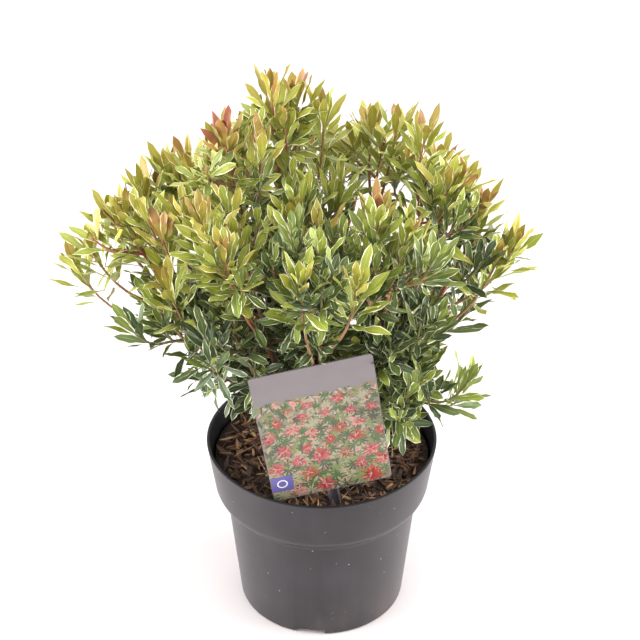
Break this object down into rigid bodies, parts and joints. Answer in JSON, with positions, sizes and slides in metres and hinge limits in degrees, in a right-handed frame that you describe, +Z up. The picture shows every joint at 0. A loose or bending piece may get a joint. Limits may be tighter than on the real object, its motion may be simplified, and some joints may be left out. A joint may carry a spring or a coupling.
{
  "type": "potted pieris shrub",
  "caption": "Small evergreen pieris shrub with cream-edged leaves, growing from a short forked stem in a round grey nursery pot with bark mulch and a plain plant label.",
  "frame": {"origin": "middle of the pot's flat underside", "axes": "+Z up along the pot's axis, -Y towards the side with the label, +X to the right seen from that side"},
  "size_m": [0.3099, 0.2802, 0.4026],
  "materials": {
    "pot_plastic": "matte grey moulded plastic with faint dust",
    "bark_mulch": "rough damp bark chips",
    "label_plastic": "smooth printed plastic card",
    "stem_bark": "thin finely cracked bark, red-brown on young shoots",
    "leaves": "leathery leaf with a soft sheen and a cream edge"
  },
  "bodies": {
    "root": {"pot": "pot_plastic", "soil": "bark_mulch", "label": "label_plastic", "trunk": "stem_bark", "bough_left_tip": "stem_bark", "bough_left_high": "stem_bark", "bough_left_low": "stem_bark", "bough_front_left": "stem_bark", "bough_front_left_high": "stem_bark", "bough_front_left_low": "stem_bark", "bough_front": "stem_bark", "bough_front_low": "stem_bark", "bough_front_right": "stem_bark", "bough_front_right_low": "stem_bark", "bough_right_high": "stem_bark", "bough_right_tip": "stem_bark", "bough_right_low": "stem_bark", "bough_back_right": "stem_bark", "bough_crest_right": "stem_bark", "bough_back_right_low": "stem_bark", "bough_back": "stem_bark", "bough_back_low": "stem_bark", "bough_back_left": "stem_bark", "bough_back_left_low": "stem_bark", "bough_crest": "stem_bark", "bough_heart": "stem_bark", "foliage_left_tip": "leaves", "foliage_left_high": "leaves", "foliage_left_low": "leaves", "foliage_front_left": "leaves", "foliage_front_left_high": "leaves", "foliage_front_left_low": "leaves", "foliage_front": "leaves", "foliage_front_low": "leaves", "foliage_front_right": "leaves", "foliage_front_right_low": "leaves", "foliage_right_high": "leaves", "foliage_right_tip": "leaves", "foliage_right_low": "leaves", "foliage_back_right": "leaves", "foliage_crest_right": "leaves", "foliage_back_right_low": "leaves", "foliage_back": "leaves", "foliage_back_low": "leaves", "foliage_back_left": "leaves", "foliage_back_left_low": "leaves", "foliage_crest": "leaves", "foliage_heart": "leaves"}
  },
  "joints": []
}
